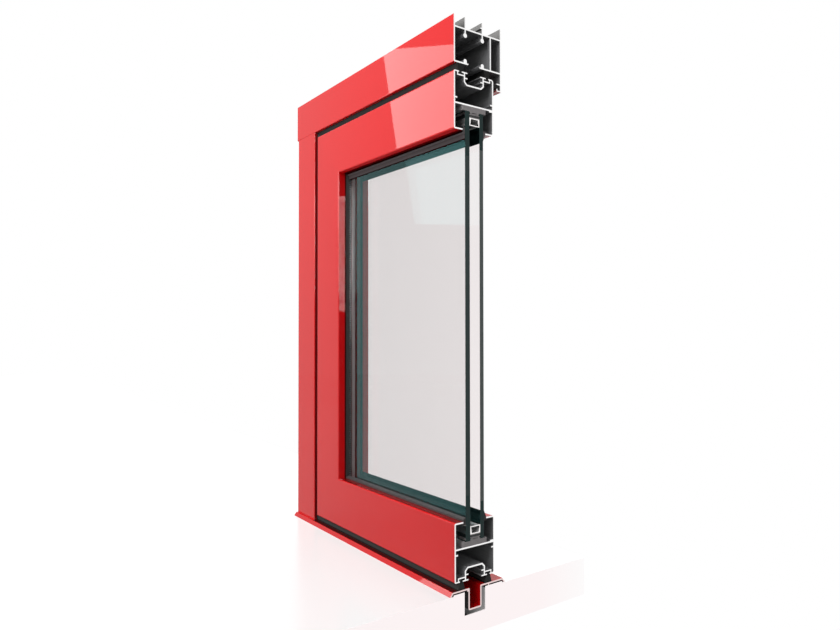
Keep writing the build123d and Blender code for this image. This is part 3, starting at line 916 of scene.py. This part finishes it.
# painted shade: the floor under the threshold is dark and gets no glow
inset = floorLook["coverInset"]
coverLow = (sillLow.x, sillLow.y + inset, floorLook["level"] - 2 * skin)
coverHigh = (farAway, sillHigh.y - inset, farAway)
covered = insideBoxes(tree, ((coverLow, coverHigh),))
floorColour = mixColour(tree, covered, floorColour, colour(floorLook["covered"]))
floorColour = mixColour(tree, onCut, floorColour, colour(floorLook["cutFace"]))
wire(tree, mixValue(tree, cloud, *floorLook["roughness"]), shader.inputs["Roughness"])
shader.inputs["Specular IOR Level"].default_value = floorLook["shine"]
lift = tree.nodes.new("ShaderNodeEmission")
lightPath = tree.nodes.new("ShaderNodeLightPath")
mirrored = calc(tree, "MULTIPLY", lightPath.outputs["Is Glossy Ray"], floorLook["mirroredShare"])
seen = calc(tree, "MAXIMUM", lightPath.outputs["Is Camera Ray"], lightPath.outputs["Is Transmission Ray"])
seen = calc(tree, "MAXIMUM", seen, mirrored)
dimmed = mirroredThroughGlass(tree, lightPath)
wire(tree, floorColour, shader.inputs["Base Color"])
recessLift = mixValue(tree, onBottom, floorLook["recessLift"], 0.0)
liftHere = mixValue(tree, onTop, recessLift, floorLook["topLift"])
liftHere = mixValue(tree, covered, liftHere, 0.0)
fadeStart, fadeReach = floorLook["fade"]
fade = calc(tree, "DIVIDE", calc(tree, "SUBTRACT", spot[1], fadeStart), fadeReach, True)
liftHere = mixValue(tree, onCut, liftHere, floorLook["cutLift"])
tree.links.new(calc(tree, "MULTIPLY", seen, liftHere), lift.inputs["Strength"])
# painted reflection: the cut face glows pink from the red frame over a pinkish base colour, fading to
# white towards the back edge
redReflection = mixColour(tree, fade, colour(floorLook["cutRedReflection"]), grey(1.0))
tree.links.new(mixColour(tree, onCut, grey(1.0), redReflection), lift.inputs["Color"])
both = tree.nodes.new("ShaderNodeAddShader")
tree.links.new(shader.outputs[0], both.inputs[0])
tree.links.new(lift.outputs[0], both.inputs[1])
nothing = tree.nodes.new("ShaderNodeEmission")
nothing.inputs["Strength"].default_value = 0.0
shownFloor = tree.nodes.new("ShaderNodeMixShader")
tree.links.new(dimmed, shownFloor.inputs[0])
tree.links.new(both.outputs[0], shownFloor.inputs[1])
tree.links.new(nothing.outputs[0], shownFloor.inputs[2])
tree.links.new(shownFloor.outputs[0], tree.nodes["Material Output"].inputs["Surface"])
floorSlab(floorWhite)

# white surround: plain white where it is seen or mirrored, and a broad soft light from the front
skyLook = {"seen": 1.0, "fill": 0.11, "key": 0.30, "from": (-0.2, -0.85, 0.48)}
world = bpy.data.worlds.new("whiteRoom")
scene.world = world
world.use_nodes = True
tree = world.node_tree
background = tree.nodes["Background"]
background.inputs["Color"].default_value = grey(1.0)
lightPath = tree.nodes.new("ShaderNodeLightPath")
shownTo = calc(tree, "MAXIMUM", lightPath.outputs["Is Camera Ray"], lightPath.outputs["Is Glossy Ray"])
shownTo = calc(tree, "MAXIMUM", shownTo, lightPath.outputs["Is Transmission Ray"])
toKey = tree.nodes.new("ShaderNodeVectorMath")
toKey.operation = "DOT_PRODUCT"
tree.links.new(tree.nodes.new("ShaderNodeTexCoord").outputs["Generated"], toKey.inputs[0])
toKey.inputs[1].default_value = skyLook["from"]
key = calc(tree, "MULTIPLY", calc(tree, "MAXIMUM", toKey.outputs["Value"], 0.0), skyLook["key"])
soft = calc(tree, "ADD", key, skyLook["fill"])
white = mixValue(tree, shownTo, soft, skyLook["seen"])
white = mixValue(tree, mirroredThroughGlass(tree, lightPath), white, 0.0)
tree.links.new(white, background.inputs["Strength"])

# soft boxes: radiance is what the gloss paint mirrors
lampLooks = {
    "frontBox": {
        "corner": (-0.967, -0.673, 1.098),
        "down": (-0.349, -0.400, -0.847),
        "across": (0.810, -0.584, -0.057),
        "width": 0.7,
        "height": 0.554,
        "radiance": 3.8,
    },
    "backBox": {
        "corner": (2.086, 1.059, 0.912),
        "down": (0.0, 0.0, -1.0),
        "across": (-0.470, 0.883, 0.0),
        "width": 0.125,
        "height": 0.559,
        "radiance": 6.4,
    },
    "keyBox": {
        "corner": (-0.095, -0.685, 1.244),
        "down": (0.140, -0.492, -0.859),
        "across": (0.962, 0.274, 0.0),
        "width": 0.6,
        "height": 0.8,
        "radiance": 5.1,
    },
    "rearBox": {
        "corner": (-0.569, 1.277, 1.633),
        "down": (-0.354, 0.354, -0.866),
        "across": (-0.707, -0.707, 0.0),
        "width": 1.0,
        "height": 1.0,
        "radiance": 6.5,
        "throughGlass": False,
    },
    "longBox": {
        "corner": (1.000, -2.145, 0.948),
        "down": (0.0, 0.0, -1.0),
        "across": (0.573, 0.819, 0.0),
        "width": 2.18,
        "height": 0.52,
        "radiance": 8.0,
        "mirroredOnly": True,
    },
    "lipCard": {
        "corner": (-0.110, -0.075, 0.220),
        "down": (0.0, 1.0, 0.0),
        "across": (1.0, 0.0, 0.0),
        "width": 0.340,
        "height": 0.045,
        "radiance": 5.0,
    },
}
lampLooks["frontBoxInGlass"] = {**lampLooks["frontBox"], "radiance": 0.43}


def areaLamp(name, corner, down, across, width, height, radiance, throughGlass=True, mirroredOnly=False):
    down = Vector(down).normalized()
    across = Vector(across)
    across = (across - down * across.dot(down)).normalized()
    middle = Vector(corner) + across * width / 2 + down * height / 2
    lamp = bpy.data.lights.new(name, "AREA")
    lamp.shape = "RECTANGLE"
    lamp.size = width
    lamp.size_y = height
    lamp.energy = radiance * math.pi * width * height
    thing = bpy.data.objects.new(name, lamp)
    up = -down
    away = across.cross(up)
    thing.matrix_world = Matrix((across, up, away)).transposed().to_4x4()
    thing.location = middle
    thing.visible_camera = False
    thing.visible_transmission = throughGlass
    thing.visible_diffuse = not mirroredOnly
    scene.collection.objects.link(thing)
    return thing


lamps = {name: areaLamp(name, **look) for name, look in lampLooks.items()}
# the panes mirror the front box faintly and the long one not at all, and a card lights the upper lip
paneNodes = ("outer_pane", "inner_pane")
for lampName, state, members in (
    ("frontBox", "EXCLUDE", paneNodes),
    ("longBox", "EXCLUDE", paneNodes),
    ("frontBoxInGlass", "INCLUDE", paneNodes),
    ("lipCard", "INCLUDE", ("leaf_top_rail",)),
):
    linked = bpy.data.collections.new(lampName + "Linked")
    for node in members:
        linked.objects.link(nodes[node])
    for member in linked.collection_objects:
        member.light_linking.link_state = state
    lamps[lampName].light_linking.receiver_collection = linked

# camera where the photograph was taken from
cameraLook = {
    "position": (0.6868, -0.4366, 0.2824),
    "azimuth": 54.202,
    "rise": 0.916,
    "roll": -0.053,
    "lens": 28.58,
    "sensor": 36.0,
    "clipStart": 0.01,
}
turn = math.radians(cameraLook["azimuth"])
rise = math.radians(cameraLook["rise"])
roll = math.radians(cameraLook["roll"])
ahead = Vector((-math.sin(turn) * math.cos(rise), math.cos(turn) * math.cos(rise), math.sin(rise)))
right = Vector((math.cos(turn), math.sin(turn), 0.0))
up = right.cross(ahead)
rolledRight = right * math.cos(roll) + up * math.sin(roll)
rolledUp = up * math.cos(roll) - right * math.sin(roll)
camera = bpy.data.objects.new("photoCamera", bpy.data.cameras.new("photoCamera"))
camera.data.sensor_width = cameraLook["sensor"]
camera.data.lens = cameraLook["lens"]
camera.data.clip_start = cameraLook["clipStart"]
camera.matrix_world = Matrix((rolledRight, rolledUp, -ahead)).transposed().to_4x4()
camera.location = cameraLook["position"]
scene.collection.objects.link(camera)
scene.camera = camera
print("stage, light and camera set")
